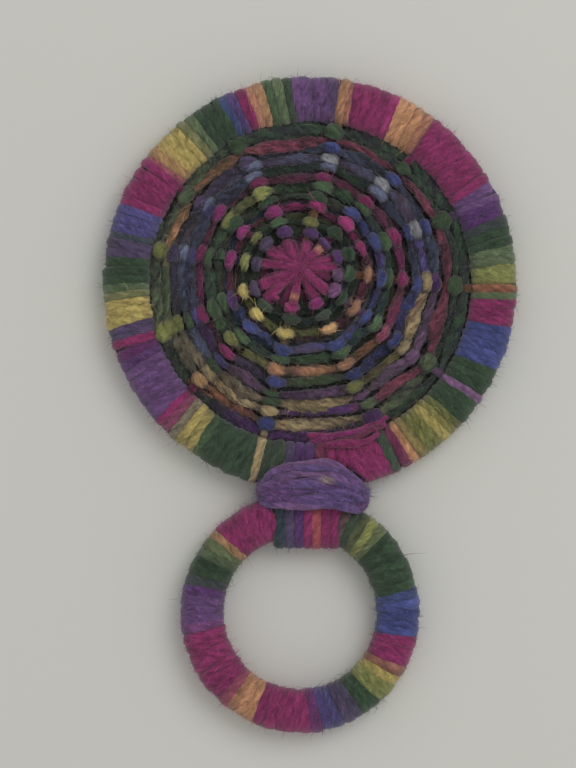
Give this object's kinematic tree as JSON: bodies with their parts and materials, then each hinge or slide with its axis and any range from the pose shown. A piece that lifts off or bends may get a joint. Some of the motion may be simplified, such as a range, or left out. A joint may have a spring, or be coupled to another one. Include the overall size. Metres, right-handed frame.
{
  "type": "ring loom weaving",
  "caption": "Round wool weaving on a wound ring, with a smaller wound hanging ring lashed below it by a waist band.",
  "frame": {"origin": "centre of the whole object's outline, on the plane of its flat back", "axes": "+X to the right seen from the front, +Y from the small ring to the large ring, +Z out of the front"},
  "size_m": [0.05, 0.0796, 0.0057],
  "materials": {
    "ring_plastic": "plain moulded craft ring, hidden under the wool",
    "wool_crimson": "brushed plied wool with a soft fuzz, variegated dye",
    "wool_purple": "brushed plied wool with a soft fuzz, variegated dye",
    "wool_blue": "brushed plied wool with a soft fuzz, variegated dye",
    "wool_green": "brushed plied wool with a soft fuzz, variegated dye",
    "wool_lime": "brushed plied wool with a soft fuzz, variegated dye",
    "wool_gold": "brushed plied wool with a soft fuzz, variegated dye",
    "wool_coral": "brushed plied wool with a soft fuzz, variegated dye",
    "wool_cream": "brushed plied wool with a soft fuzz, variegated dye"
  },
  "bodies": {
    "disc": {"large_ring": "ring_plastic", "hub_stitches": "wool_crimson", "waist_band": "wool_purple", "large_wrap_01": "wool_crimson", "large_wrap_02": "wool_crimson", "large_wrap_03": "wool_green", "large_wrap_04": "wool_blue", "large_wrap_05": "wool_lime", "large_wrap_06": "wool_crimson", "large_wrap_07": "wool_purple", "large_wrap_08": "wool_green", "large_wrap_09": "wool_purple", "large_wrap_10": "wool_gold", "large_wrap_11": "wool_crimson", "large_wrap_12": "wool_green", "large_wrap_13": "wool_purple", "spoke_01": "wool_coral", "spoke_02": "wool_crimson", "spoke_03": "wool_purple", "spoke_04": "wool_green", "spoke_05": "wool_purple", "spoke_06": "wool_green", "spoke_07": "wool_cream", "spoke_08": "wool_crimson", "spoke_09": "wool_crimson", "spoke_10": "wool_blue", "spoke_11": "wool_crimson", "spoke_12": "wool_green", "weave_round_01": "wool_crimson", "weave_round_02": "wool_purple", "weave_round_03": "wool_blue", "weave_round_04": "wool_green", "weave_round_05": "wool_lime", "weave_round_06": "wool_crimson", "weave_round_07": "wool_blue", "weave_round_08": "wool_green", "weave_round_09": "wool_coral", "weave_round_10": "wool_blue", "weave_round_11": "wool_cream", "weave_round_12": "wool_green", "joint_turn_1": "wool_green", "joint_turn_2": "wool_blue", "joint_turn_3": "wool_purple", "joint_turn_4": "wool_crimson", "joint_turn_5": "wool_crimson", "joint_turn_6": "wool_coral", "joint_turn_7": "wool_green"},
    "hanger": {"small_ring": "ring_plastic", "small_wrap_1": "wool_green", "small_wrap_2": "wool_green", "small_wrap_3": "wool_blue", "small_wrap_4": "wool_green", "small_wrap_5": "wool_crimson", "small_wrap_6": "wool_crimson", "small_wrap_7": "wool_purple", "small_wrap_8": "wool_crimson"}
  },
  "joints": [
    {"name": "ring_fold", "type": "hinge", "parent": "disc", "child": "hanger", "pos_m": [0, -0.01041, 0.0023], "axis": [1, 0, 0], "range_deg": [-30, 30], "stiffness_Nm_per_rad": 0.002, "deforming": ["joint_turn_1", "joint_turn_2", "joint_turn_3", "joint_turn_4", "joint_turn_5", "joint_turn_6", "joint_turn_7", "waist_band"]}
  ]
}
